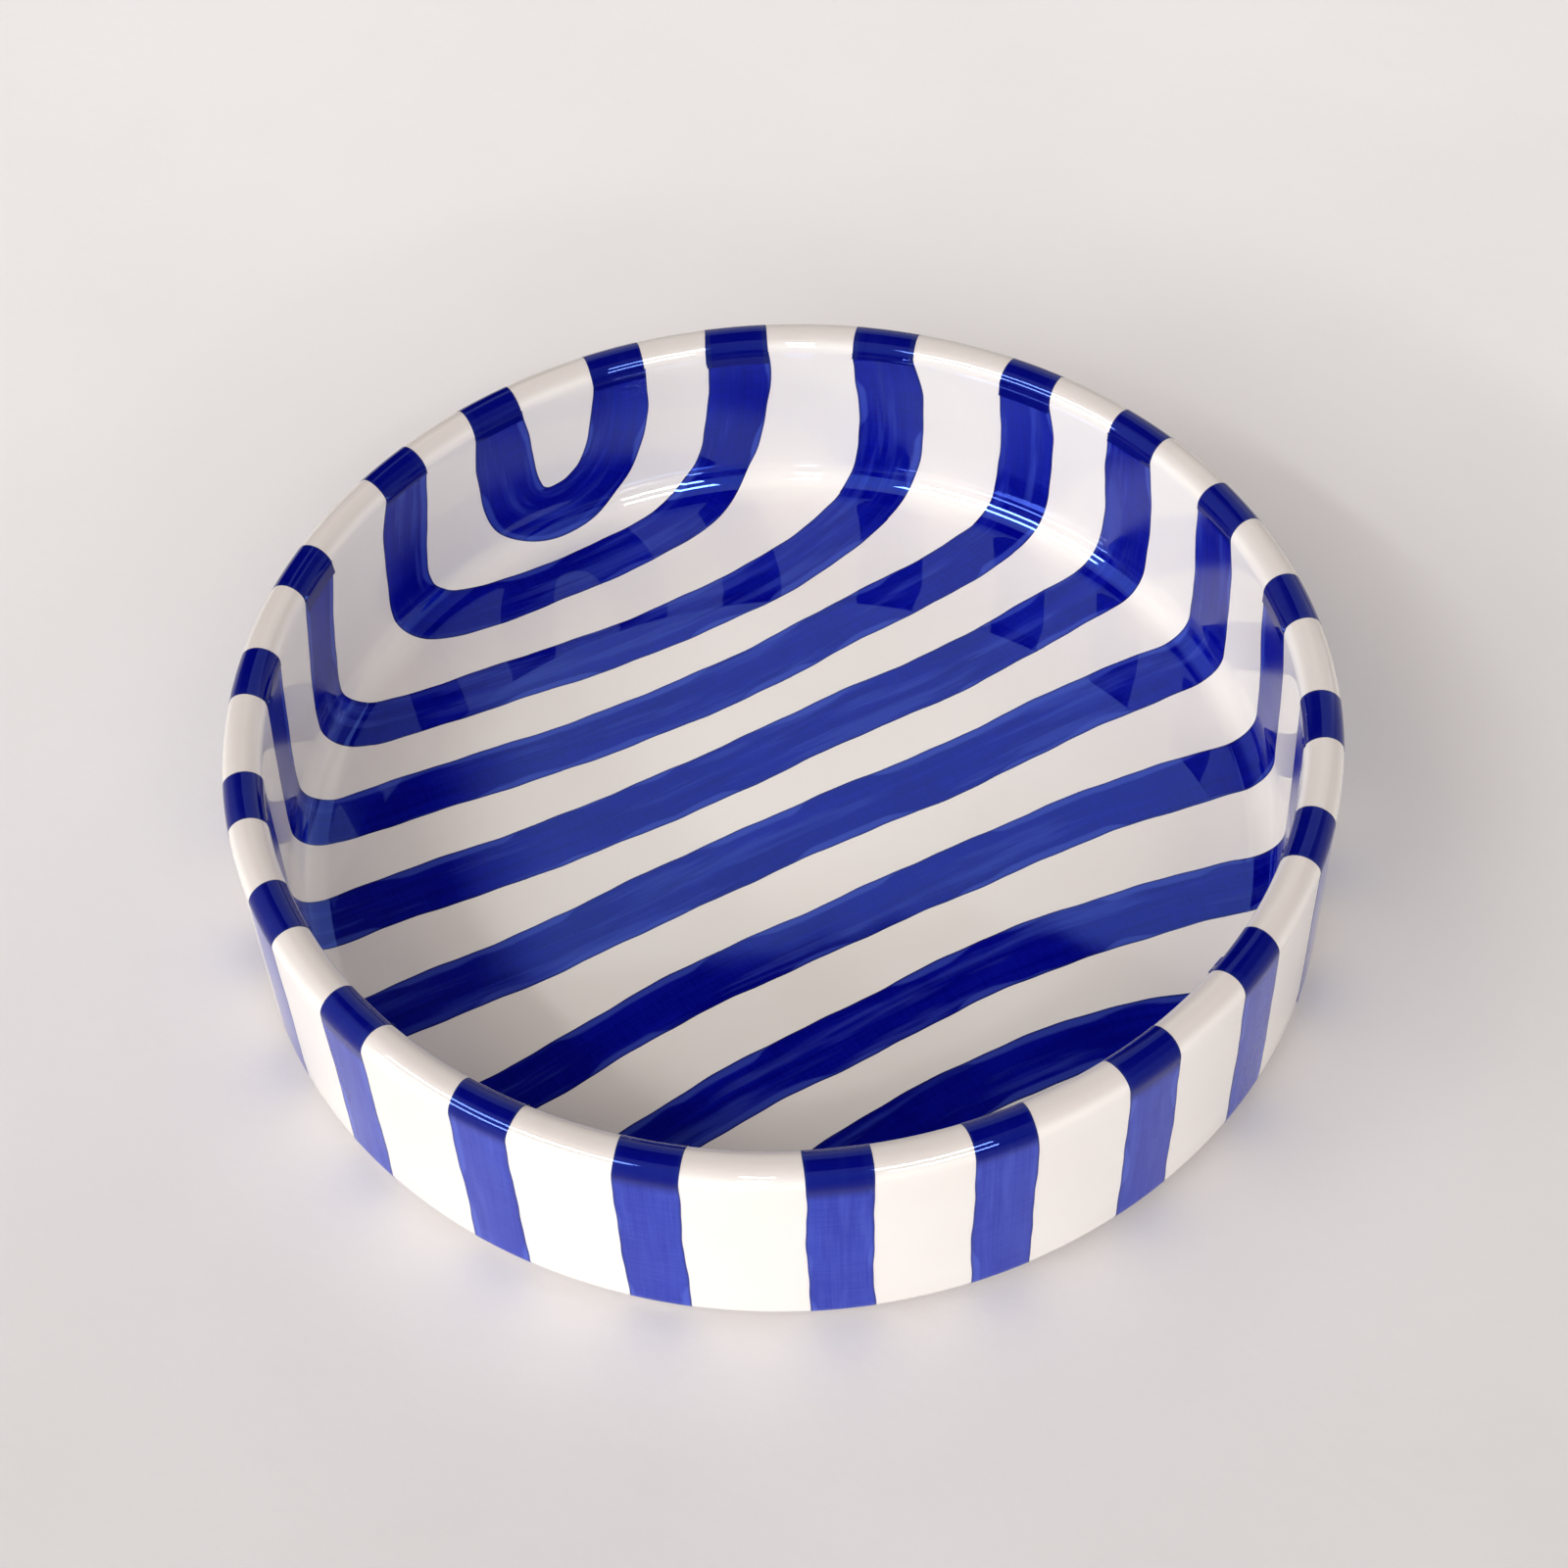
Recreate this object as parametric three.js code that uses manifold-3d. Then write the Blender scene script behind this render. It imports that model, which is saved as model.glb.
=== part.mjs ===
// A low, straight-sided serving bowl of glazed earthenware, painted by hand
// with blue brush stripes. Millimetres, +Z up, origin on the table under the
// middle of the bowl.
//
// The clay body is turned in one piece with its foot ring. A white glaze coat
// lies over it, from the middle of the floor over the rim and down to the
// foot. The stripes are bands of blue glaze that lie in channels of that coat,
// flush with it: eleven inside, each painted in one pull from rim to rim, and
// twenty-two short bars that come over the rim and run down the outside.

import * as THREE from 'three';
import { mergeVertices } from 'three/addons/utils/BufferGeometryUtils.js';
import Module from 'manifold-3d';

const wasm = await Module();
wasm.setup();

// Driving dimensions of the clay and the glaze
const OUTER_RADIUS = 140;
const TOTAL_HEIGHT = 65;
const WALL = 10;
const FLOOR_THICKNESS = 7;
const FLOOR_FILLET = 9;
const EDGE_ROUND = 4;
const FOOT_HEIGHT = 3;
const FOOT_RADIUS = 124;
const FOOT_WIDTH = 8;
const FOOT_CHAMFER = 0.6;
const GLAZE = 0.8;
const GLAZE_STOP = 2.5;
const SEAT = 0.2;
const CLEARANCE = 0.3;

// Driving dimensions of the painted stripes
const BAR_COUNT = 22;
const PATTERN_AXIS = 116.2;
const BAR_WIDTH = 15.4;
const BAR_STOP = 0.4;
const STRIPE_WIDTH = 16.4;
const WAVE_HEIGHT = 0.9;
const WAVE_LENGTH = 110;
const WAVE_TURN = 1.7;
const BOW = 0.27;
const BEND_INSET = 6;
const CORNER_STEP = 30;
const LOOP_HEIGHT = 9;

// How the painter's hand turns from the wall to the floor on the left and on
// the right: the share of the wall and the length of floor that the turn takes,
// both more for the stripes at the back and front, how many degrees those
// stripes lean in, and how far the loops are pinched
const LEFT = { side: -1, limb: 0.6, limbMore: 0, turn: 28, turnMore: 0, lean: 0, pinch: 0.92 };
const RIGHT = { side: 1, limb: 0.55, limbMore: 0.35, turn: 26, turnMore: 22, lean: 8, pinch: 0.45 };
const LIMB_SWELL = 1;
const LOOP_LIMB = 0.75;

// How far each bar strays round the rim in degrees, where each stripe crosses
// the pattern's axis as a share of the floor, and how wide the brush spreads
// at a stripe's left end, middle and right end
const BAR_SHIFTS = [
  0, -1.5, 0, 2, 1, 0, -1, -0.5, -1, -0.5, -1, -1, -1.5, 0, 0.5, 1.5, 1, 0, 1, 0.5, 2, 0,
];
const FLOOR_PLACES = [0, 0.86, 0.63, 0.42, 0.205, -0.015, -0.25, -0.49, -0.725, -0.885, 0];
const SPREADS = [
  [1.12, 1.12, 1], [1.12, 0.92, 1.12], [0.94, 0.92, 1.22], [0.92, 0.94, 1.02], [0.93, 1, 1.04],
  [0.96, 1.04, 1.04], [0.93, 0.9, 1.08], [0.96, 0.98, 1.04], [0.98, 0.98, 1], [0.95, 0.86, 0.95], [1, 1.08, 1],
];

// Steps of the faceted surfaces
const SEGMENTS = 48;
const ARC_STEP = 30;
const CUT_DEPTH = 1.1;
const ACROSS = 4;
const FINE_STEPS = 6;
const COARSE = 3;

const INNER_RADIUS = OUTER_RADIUS - WALL;
const RIM_ROUND = WALL / 2;
const FLOOR_Z = FOOT_HEIGHT + FLOOR_THICKNESS;
const BAR_PITCH = 360 / BAR_COUNT;
const STRIPE_COUNT = BAR_COUNT / 2;

const rad = THREE.MathUtils.degToRad;

// A straight span of the profile, with its normal on the left of its travel
function line(r0, z0, r1, z1) {
  const length = Math.hypot(r1 - r0, z1 - z0);
  const dr = (r1 - r0) / length;
  const dz = (z1 - z0) / length;
  return {
    length,
    steps: 1,
    at: (s) => ({ r: r0 + dr * s, z: z0 + dz * s, nr: -dz, nz: dr }),
  };
}

// A round span between two angles in degrees, turning either way
function arc(cr, cz, radius, from, to) {
  const turn = Math.sign(to - from);
  return {
    length: radius * rad(Math.abs(to - from)),
    steps: Math.max(1, Math.round(Math.abs(to - from) / ARC_STEP)),
    at: (s) => {
      const a = rad(from) + (turn * s) / radius;
      return {
        r: cr + radius * Math.cos(a),
        z: cz + radius * Math.sin(a),
        nr: -turn * Math.cos(a),
        nz: -turn * Math.sin(a),
      };
    },
  };
}

// The glazed surface as one run: the floor from its middle, the wall, the rim,
// the outside and the turned-under edge as far as the foot.
const spans = [
  line(0, FLOOR_Z, INNER_RADIUS - FLOOR_FILLET, FLOOR_Z),
  arc(INNER_RADIUS - FLOOR_FILLET, FLOOR_Z + FLOOR_FILLET, FLOOR_FILLET, -90, 0),
  line(INNER_RADIUS, FLOOR_Z + FLOOR_FILLET, INNER_RADIUS, TOTAL_HEIGHT - RIM_ROUND),
  arc(INNER_RADIUS + RIM_ROUND, TOTAL_HEIGHT - RIM_ROUND, RIM_ROUND, 180, 0),
  line(OUTER_RADIUS, TOTAL_HEIGHT - RIM_ROUND, OUTER_RADIUS, FOOT_HEIGHT + EDGE_ROUND),
  arc(OUTER_RADIUS - EDGE_ROUND, FOOT_HEIGHT + EDGE_ROUND, EDGE_ROUND, 0, -90),
  line(OUTER_RADIUS - EDGE_ROUND, FOOT_HEIGHT, FOOT_RADIUS + GLAZE_STOP, FOOT_HEIGHT),
];
const starts = spans.map((_, i) => spans.slice(0, i).reduce((sum, span) => sum + span.length, 0));
const [, FILLET_START, WALL_START, RIM_START] = starts;
const BEND_AT = WALL_START - BEND_INSET;

// The point of the glazed surface at a distance along the run
function along(distance) {
  let i = spans.length - 1;
  while (i > 0 && starts[i] > distance) i -= 1;
  return spans[i].at(distance - starts[i]);
}

// The run as profile points, set off along its normals
function offsetProfile(offset, skipUnder = false) {
  const points = [];
  const used = skipUnder ? spans.slice(0, -1) : spans;
  used.forEach((span, i) => {
    for (let k = i === 0 ? 0 : 1; k <= span.steps; k += 1) {
      const p = span.at((span.length * k) / span.steps);
      points.push(new THREE.Vector2(Math.max(0, p.r + p.nr * offset), p.z + p.nz * offset));
    }
  });
  return points;
}

// A closed geometry as a solid, without the flat triangles at its poles and
// with its faces pointing out
function solidOf(geometry) {
  const bare = geometry.clone();
  bare.deleteAttribute('normal');
  bare.deleteAttribute('uv');
  const merged = mergeVertices(bare, 1e-4);
  const index = merged.index.array;
  const p = merged.attributes.position.array;
  const tris = [];
  let volume = 0;
  for (let i = 0; i < index.length; i += 3) {
    const [a, b, c] = [index[i], index[i + 1], index[i + 2]];
    if (a === b || b === c || c === a) continue;
    tris.push(a, b, c);
    const [u, v, w] = [a, b, c].map((n) => new THREE.Vector3(p[3 * n], p[3 * n + 1], p[3 * n + 2]));
    volume += u.dot(v.cross(w)) / 6;
  }
  if (volume < 0) tris.reverse();
  return new wasm.Manifold(new wasm.Mesh({
    numProp: 3,
    vertProperties: new Float32Array(p),
    triVerts: new Uint32Array(tris),
  }));
}

// A solid back as a three.js geometry
function geometryOf(solid) {
  const mesh = solid.getMesh();
  const geometry = new THREE.BufferGeometry();
  geometry.setAttribute('position', new THREE.BufferAttribute(new Float32Array(mesh.vertProperties), 3));
  geometry.setIndex(new THREE.BufferAttribute(new Uint32Array(mesh.triVerts), 1));
  geometry.computeVertexNormals();
  return geometry;
}

// A profile turned about the upright axis
function turned(profile) {
  const lathe = new THREE.LatheGeometry(profile, SEGMENTS);
  lathe.rotateX(Math.PI / 2);
  return solidOf(lathe);
}

// The point of the bowl's surface that lies at (u, v) when the surface is
// rolled out flat, with v along the pattern's axis
function rolledOn(u, v, offset) {
  const p = along(Math.hypot(u, v));
  const angle = rad(PATTERN_AXIS) - Math.atan2(u, v);
  const r = p.r + p.nr * offset;
  return new THREE.Vector3(r * Math.cos(angle), r * Math.sin(angle), p.z + p.nz * offset);
}

// A rolled-out point moved over the bowl by real distances, outwards and round
function moved(point, outwards, round) {
  const distance = point.length();
  if (distance > FILLET_START) {
    return point.clone()
      .rotateAround(new THREE.Vector2(), round / along(distance).r)
      .multiplyScalar(1 + outwards / distance);
  }
  const out = outOf(point);
  return point.clone().addScaledVector(out, outwards).addScaledVector(leftOf(out), round);
}

// The way outwards at a rolled-out point, any way at the middle of the floor
const outOf = (point) => (point.length() > BAR_WIDTH ? point.clone().normalize() : new THREE.Vector2(0, 1));
const leftOf = (way) => new THREE.Vector2(-way.y, way.x);

// The brush's spread at a share of the stroke, through its three named values
const spreadAt = ([first, middle, last], t) => (
  first * (1 - t) * (1 - 2 * t) + middle * 4 * t * (1 - t) + last * t * (2 * t - 1));

// A band of brush width along a rolled-out path, through the whole coat, with
// both ends square to the way outwards
function band(path, spread, slack) {
  const travel = [0];
  path.slice(1).forEach((point, i) => travel.push(travel[i] + point.distanceTo(path[i])));
  const rows = path.map((point, i) => {
    const width = STRIPE_WIDTH * spreadAt(spread, travel[i] / travel[path.length - 1]) + slack;
    const isInside = i > 0 && i < path.length - 1;
    const ahead = isInside ? path[i + 1].clone().sub(path[i - 1]) : point.clone().multiplyScalar(i ? 1 : -1);
    const out = outOf(point);
    const distance = point.length();
    const stretch = distance > FILLET_START ? distance / along(distance).r : 1;
    const side = new THREE.Vector2(-ahead.dot(leftOf(out)) / stretch, ahead.dot(out)).normalize();
    return Array.from({ length: ACROSS + 1 }, (_, j) => {
      const reach = (j / ACROSS - 0.5) * width;
      return moved(point, side.x * reach, side.y * reach);
    });
  });
  const ring = (row) => [
    ...row.map((q) => rolledOn(q.x, q.y, CUT_DEPTH)),
    ...[...row].reverse().map((q) => rolledOn(q.x, q.y, -GLAZE - CUT_DEPTH)),
  ];
  const rings = rows.map(ring);
  const count = rings[0].length;
  const index = [];
  for (let i = 0; i + 1 < rings.length; i += 1) {
    for (let j = 0; j < count; j += 1) {
      const a = i * count + j;
      const b = i * count + ((j + 1) % count);
      index.push(a, b, b + count, a, b + count, a + count);
    }
  }
  const last = (rings.length - 1) * count;
  for (const [base, flip] of [[0, true], [last, false]]) {
    for (let j = 0; j < ACROSS; j += 1) {
      const [a, b, c, d] = [j, j + 1, count - 2 - j, count - 1 - j].map((n) => base + n);
      index.push(...(flip ? [a, c, b, a, d, c] : [a, b, c, a, c, d]));
    }
  }
  const geometry = new THREE.BufferGeometry().setFromPoints(rings.flat());
  geometry.setIndex(index);
  return solidOf(geometry);
}

// A point of the rolled-out surface by its distance and its angle from the
// pattern's axis, positive towards +u
const polar = (distance, degrees) => new THREE.Vector2(
  distance * Math.sin(rad(degrees)),
  distance * Math.cos(rad(degrees)),
);

// A smooth path whose straight runs are rounded at every corner, with close
// points where it may cross the fillet and far ones elsewhere
function smoothPath(corners) {
  const path = new THREE.Path().moveTo(corners[0].x, corners[0].y);
  for (let i = 1; i + 1 < corners.length; i += 1) {
    const isLast = i + 2 === corners.length;
    const end = isLast ? corners[i + 1] : corners[i].clone().lerp(corners[i + 1], 0.5);
    path.quadraticCurveTo(corners[i].x, corners[i].y, end.x, end.y);
  }
  const points = path.getPoints(FINE_STEPS);
  return points.filter((point, i) => {
    const distance = point.length();
    const isBend = distance > FILLET_START - STRIPE_WIDTH / 2 && distance < WALL_START + STRIPE_WIDTH / 2;
    return isBend || i % COARSE === 0 || i === points.length - 1;
  });
}

// The angle of a bar from the pattern's axis, in degrees towards +u
const barAngle = (i) => (i + 0.5) * BAR_PITCH + BAR_SHIFTS[i % BAR_SHIFTS.length];

// The point of a stripe on the floor: its place, bowed outwards, with a swing
function onFloor(stripe, u) {
  const bowed = FLOOR_PLACES[stripe] * BEND_AT * (1 + BOW * (u / BEND_AT) ** 2);
  const swing = Math.sin((2 * Math.PI * u) / WAVE_LENGTH + WAVE_TURN * stripe);
  return new THREE.Vector2(u, bowed + WAVE_HEIGHT * swing);
}

// The corners of one end of a loop, from the rim to the loop's bottom
function loopEnd(hand, end, angle, middle) {
  const low = WALL_START + LOOP_HEIGHT - STRIPE_WIDTH / 2;
  return [
    polar(end, angle),
    polar(BEND_AT + (end - BEND_AT) * LOOP_LIMB, angle),
    polar(low, middle + (angle - middle) * hand.pinch),
  ];
}

// The corners of one end of a stripe, from the rim over the bend to the floor
function stripeEnd(stripe, hand, end, angle) {
  const place = FLOOR_PLACES[stripe];
  const back = Math.cos(rad((stripe + 0.5) * BAR_PITCH));
  const share = Math.sqrt((1 - place ** 2) / (1 + 2 * BOW * place ** 2));
  const turnIn = hand.turn + hand.turnMore * back ** 2;
  const corner = onFloor(stripe, hand.side * BEND_AT * share);
  const floor = onFloor(stripe, corner.x - hand.side * turnIn);
  corner.rotateAround(new THREE.Vector2(), rad(hand.lean * back ** 4 * Math.sign(back)));
  const foot = THREE.MathUtils.radToDeg(Math.atan2(corner.x, corner.y));
  const limb = hand.limb + hand.limbMore * back ** 2;
  const limbAngle = THREE.MathUtils.lerp(foot, angle, limb) + hand.side * LIMB_SWELL;
  return [polar(end, angle), polar(BEND_AT + (end - BEND_AT) * limb, limbAngle), corner, floor];
}

// The rolled-out path of an inner stripe, from rim to rim
function stripePath(stripe, end) {
  const rightAngle = barAngle(stripe);
  const leftAngle = barAngle(BAR_COUNT - 1 - stripe) - 360;
  if (stripe === 0) {
    return smoothPath([
      ...loopEnd(LEFT, end, leftAngle, 0),
      ...loopEnd(RIGHT, end, rightAngle, 0).reverse(),
    ]);
  }
  if (stripe === STRIPE_COUNT - 1) {
    return smoothPath([
      ...loopEnd(LEFT, end, leftAngle, -180),
      ...loopEnd(RIGHT, end, rightAngle - 360, -180).reverse(),
    ]);
  }
  const left = stripeEnd(stripe, LEFT, end, leftAngle);
  const right = stripeEnd(stripe, RIGHT, end, rightAngle);
  const [from, to] = [left, right].map((corners) => corners[corners.length - 1].x);
  const count = Math.max(1, Math.round((to - from) / CORNER_STEP));
  const middle = Array.from({ length: count - 1 }, (_, n) => (
    onFloor(stripe, THREE.MathUtils.lerp(from, to, (n + 1) / count))));
  return smoothPath([...left, ...middle, ...right.reverse()]);
}

const shell = turned([...offsetProfile(-GLAZE), ...offsetProfile(0).reverse()]);

// The clay: the coat's inner face less its seat on top, the foot ring below
function clayBody() {
  const top = offsetProfile(-GLAZE - SEAT, true);
  const under = FOOT_HEIGHT + GLAZE + SEAT;
  const footInner = FOOT_RADIUS - FOOT_WIDTH;
  const corners = [
    [FOOT_RADIUS + GLAZE_STOP - SEAT, under],
    [FOOT_RADIUS + GLAZE_STOP - SEAT, FOOT_HEIGHT],
    [FOOT_RADIUS, FOOT_HEIGHT],
    [FOOT_RADIUS - FOOT_CHAMFER, 0],
    [footInner + FOOT_CHAMFER, 0],
    [footInner, FOOT_HEIGHT],
    [0, FOOT_HEIGHT],
  ];
  return turned([...top, ...corners.map(([r, z]) => new THREE.Vector2(r, z))]);
}

const clay = new THREE.MeshStandardMaterial({ color: 0xe6dccb, roughness: 0.75 });
const whiteGlaze = new THREE.MeshStandardMaterial({ color: 0xf4f1ea, roughness: 0.12 });
const blueGlaze = new THREE.MeshStandardMaterial({ color: 0x1f2c9c, roughness: 0.12 });

const bowl = new THREE.Group();
bowl.name = 'serving_bowl';

function place(name, solid, material) {
  const mesh = new THREE.Mesh(geometryOf(solid), material);
  mesh.name = name;
  bowl.add(mesh);
}

// A straight bar that comes over the rim and runs down the outside, as an
// upright L of the given width turned to its place
function bar(angle, width, slack) {
  const inside = INNER_RADIUS - CUT_DEPTH * 2;
  const outside = OUTER_RADIUS + CUT_DEPTH;
  const middle = INNER_RADIUS + RIM_ROUND;
  const top = TOTAL_HEIGHT + CUT_DEPTH;
  const start = TOTAL_HEIGHT - RIM_ROUND + CLEARANCE / 2 - slack;
  const end = FOOT_HEIGHT + EDGE_ROUND * BAR_STOP - slack;
  const outline = new THREE.Shape([[inside, start], [middle, start], [middle, end],
    [outside, end], [outside, top], [inside, top]].map(([r, z]) => new THREE.Vector2(r, z)));
  const geometry = new THREE.ExtrudeGeometry(outline, { depth: width, bevelEnabled: false });
  geometry.translate(0, 0, -width / 2);
  geometry.rotateX(Math.PI / 2);
  geometry.rotateZ(rad(angle));
  return solidOf(geometry);
}

const label = (n) => String(n + 1).padStart(2, '0');
const gap = CLEARANCE / 2;
let coat = shell;

place('clay_body', clayBody(), clay);
for (let i = 0; i < STRIPE_COUNT; i += 1) {
  const stroke = band(stripePath(i, RIM_START - gap), SPREADS[i], 0);
  place(`inner_stripe_${label(i)}`, shell.intersect(stroke), blueGlaze);
  coat = coat.subtract(band(stripePath(i, RIM_START + gap), SPREADS[i], 2 * CLEARANCE));
}
for (let i = 0; i < BAR_COUNT; i += 1) {
  const angle = PATTERN_AXIS - barAngle(i);
  place(`rim_bar_${label(i)}`, shell.intersect(bar(angle, BAR_WIDTH, 0)), blueGlaze);
  coat = coat.subtract(bar(angle, BAR_WIDTH + 2 * CLEARANCE, CLEARANCE));
}
place('white_glaze', coat, whiteGlaze);

export default bowl;
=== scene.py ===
"""A low striped serving bowl of glazed earthenware on a pale table.

The bowl's clay, its white glaze and its blue brush strokes are dressed around
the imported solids. Lengths are metres, angles are degrees unless a name says
otherwise, and the bowl's own axis is Z.
"""

from __future__ import annotations

import logging
import math
from bisect import bisect_right
from dataclasses import dataclass, field
from enum import Enum

import bmesh
import bpy
from bmesh.types import BMesh, BMVert
from bpy.types import ID, Material, Node, NodeSocket, NodeTree, Object, World
from mathutils import Matrix, Vector

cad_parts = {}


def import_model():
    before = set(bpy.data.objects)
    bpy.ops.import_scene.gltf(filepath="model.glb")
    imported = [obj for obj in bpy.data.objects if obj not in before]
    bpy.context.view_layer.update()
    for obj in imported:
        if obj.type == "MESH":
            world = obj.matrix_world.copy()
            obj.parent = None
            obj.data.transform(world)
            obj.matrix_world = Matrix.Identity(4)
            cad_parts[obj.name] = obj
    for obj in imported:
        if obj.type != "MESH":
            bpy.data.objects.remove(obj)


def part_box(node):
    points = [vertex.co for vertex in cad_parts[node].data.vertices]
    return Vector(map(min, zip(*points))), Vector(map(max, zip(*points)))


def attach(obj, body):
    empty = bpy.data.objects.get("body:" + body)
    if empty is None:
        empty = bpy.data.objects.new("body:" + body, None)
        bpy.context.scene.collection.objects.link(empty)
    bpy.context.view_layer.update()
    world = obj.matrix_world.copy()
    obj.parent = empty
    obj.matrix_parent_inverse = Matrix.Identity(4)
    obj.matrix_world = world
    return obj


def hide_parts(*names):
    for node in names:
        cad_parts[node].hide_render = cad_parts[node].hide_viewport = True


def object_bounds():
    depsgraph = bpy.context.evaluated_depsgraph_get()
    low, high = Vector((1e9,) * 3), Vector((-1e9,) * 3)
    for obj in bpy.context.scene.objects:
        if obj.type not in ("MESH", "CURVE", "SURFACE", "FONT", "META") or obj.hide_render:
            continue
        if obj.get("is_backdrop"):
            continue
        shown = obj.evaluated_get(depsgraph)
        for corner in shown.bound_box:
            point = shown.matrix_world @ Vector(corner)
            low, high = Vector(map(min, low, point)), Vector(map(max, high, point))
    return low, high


LOG = logging.getLogger("striped_bowl")
MM = 0.001
CRISP_ANGLE = math.radians(35)
MERGE_DISTANCE = 1e-6
CURVE_STEPS = 48
Pair = tuple[float, float]
Colour = tuple[float, float, float]


class Slot(Enum):
    """The record's material slots."""

    CLAY = "bare_clay"
    WHITE = "white_glaze"
    BLUE = "blue_glaze"


class LampUse(Enum):
    """What a lamp is for: to light the surfaces, or to show as a glint in the gloss."""

    LIGHT = "strip"
    GLINT = "glint"


@dataclass(frozen=True)
class SurfacePoint:
    """A point of the turned profile with its outward normal."""

    r: float
    z: float
    nr: float
    nz: float

    def offset(self, by: float) -> Pair:
        """The radius and height of the point set off along its normal."""
        return self.r + self.nr * by, self.z + self.nz * by


@dataclass(frozen=True)
class StraightSpan:
    """A straight stretch of the profile, its normal on the left of its travel."""

    start: Pair
    end: Pair
    steps: int

    @property
    def length(self) -> float:
        """The stretch's length."""
        return math.dist(self.start, self.end)

    def at(self, s: float) -> SurfacePoint:
        """The point at a distance from the stretch's start."""
        dr = (self.end[0] - self.start[0]) / self.length
        dz = (self.end[1] - self.start[1]) / self.length
        return SurfacePoint(self.start[0] + dr * s, self.start[1] + dz * s, -dz, dr)


@dataclass(frozen=True)
class RoundSpan:
    """A round stretch of the profile between two angles, turning either way."""

    centre: Pair
    radius: float
    first: float
    last: float
    steps: int

    @property
    def length(self) -> float:
        """The stretch's length."""
        return self.radius * math.radians(abs(self.last - self.first))

    def at(self, s: float) -> SurfacePoint:
        """The point at a distance from the stretch's start."""
        turn = math.copysign(1.0, self.last - self.first)
        a = math.radians(self.first) + turn * s / self.radius
        c, n = math.cos(a), math.sin(a)
        return SurfacePoint(self.centre[0] + self.radius * c, self.centre[1] + self.radius * n,
                            -turn * c, -turn * n)


@dataclass
class BowlSurface:
    """The glazed face of the bowl as one run from the floor's middle.

    The run goes over the floor, the fillet, the wall, the rim, the outside and
    the turned-under edge as far as the foot.
    """

    outer_radius: float
    height: float
    foot_height: float
    wall: float = 10 * MM
    floor: float = 7 * MM
    fillet: float = 9 * MM
    edge_round: float = 4 * MM
    glaze_end: float = 126.5 * MM
    spans: list = field(init=False)
    starts: list = field(init=False)

    def __post_init__(self) -> None:
        """Lay out the run's stretches."""
        inner = self.outer_radius - self.wall
        rim = self.wall / 2
        floor_z = self.foot_height + self.floor
        top = self.height - rim
        low = self.foot_height + self.edge_round
        edge_r = self.outer_radius - self.edge_round
        self.spans = [
            StraightSpan((0.0, floor_z), (inner - self.fillet, floor_z), 12),
            RoundSpan((inner - self.fillet, floor_z + self.fillet), self.fillet, -90, 0, 16),
            StraightSpan((inner, floor_z + self.fillet), (inner, top), 8),
            RoundSpan((inner + rim, top), rim, 180, 0, 24),
            StraightSpan((self.outer_radius, top), (self.outer_radius, low), 8),
            RoundSpan((edge_r, low), self.edge_round, 0, -90, 8),
            StraightSpan((edge_r, self.foot_height), (self.glaze_end, self.foot_height), 2),
        ]
        self.starts = [sum(s.length for s in self.spans[:i]) for i in range(len(self.spans))]

    @property
    def fillet_start(self) -> float:
        """Where the floor starts to turn up."""
        return self.starts[1]

    @property
    def wall_start(self) -> float:
        """Where the inner wall is upright."""
        return self.starts[2]

    @property
    def rim_start(self) -> float:
        """Where the rim's round starts on the inside."""
        return self.starts[3]

    @property
    def edge_start(self) -> float:
        """Where the outside starts to turn under."""
        return self.starts[5]

    def at(self, distance: float) -> SurfacePoint:
        """The point at a distance along the run."""
        i = max(0, bisect_right(self.starts, distance) - 1)
        return self.spans[i].at(distance - self.starts[i])

    def profile(self, offset: float) -> list[Pair]:
        """The run as radius and height pairs, set off along its normals."""
        points = []
        for i, span in enumerate(self.spans):
            for k in range(0 if i == 0 else 1, span.steps + 1):
                r, z = span.at(span.length * k / span.steps).offset(offset)
                points.append((max(0.0, r), z))
        return points


@dataclass(frozen=True)
class RolledMap:
    """The bowl's surface rolled out flat, with v along the pattern's axis."""

    surface: BowlSurface
    axis: float = 116.2
    middle: float = 17 * MM

    def on_bowl(self, point: Vector, offset: float) -> Vector:
        """The place on the bowl of a rolled-out point, set off along the normal."""
        r, z = self.surface.at(point.length).offset(offset)
        angle = math.radians(self.axis) - math.atan2(point.x, point.y)
        return Vector((r * math.cos(angle), r * math.sin(angle), z))

    def stretch(self, distance: float) -> float:
        """How much the rolled-out surface is stretched round the bowl."""
        if distance <= self.surface.fillet_start:
            return 1.0
        return distance / self.surface.at(distance).r

    def outwards(self, point: Vector) -> Vector:
        """The way outwards at a point, any way at the floor's middle."""
        return point.normalized() if point.length > self.middle else Vector((0.0, 1.0))

    def moved(self, point: Vector, out: float, around: float) -> Vector:
        """A rolled-out point moved over the bowl by real distances.

        Args:
            point: The rolled-out point.
            out: The distance away from the floor's middle.
            around: The distance round the bowl, to the left of outwards.

        Returns:
            The moved rolled-out point.
        """
        distance = point.length
        if distance > self.surface.fillet_start:
            turn = Matrix.Rotation(around / self.surface.at(distance).r, 2)
            return (turn @ point) * (1 + out / distance)
        way = self.outwards(point)
        return point + way * out + Vector((-way.y, way.x)) * around


def polar(distance: float, degrees: float) -> Vector:
    """A rolled-out point by its distance and its angle from the pattern's axis."""
    a = math.radians(degrees)
    return Vector((distance * math.sin(a), distance * math.cos(a)))


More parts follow.
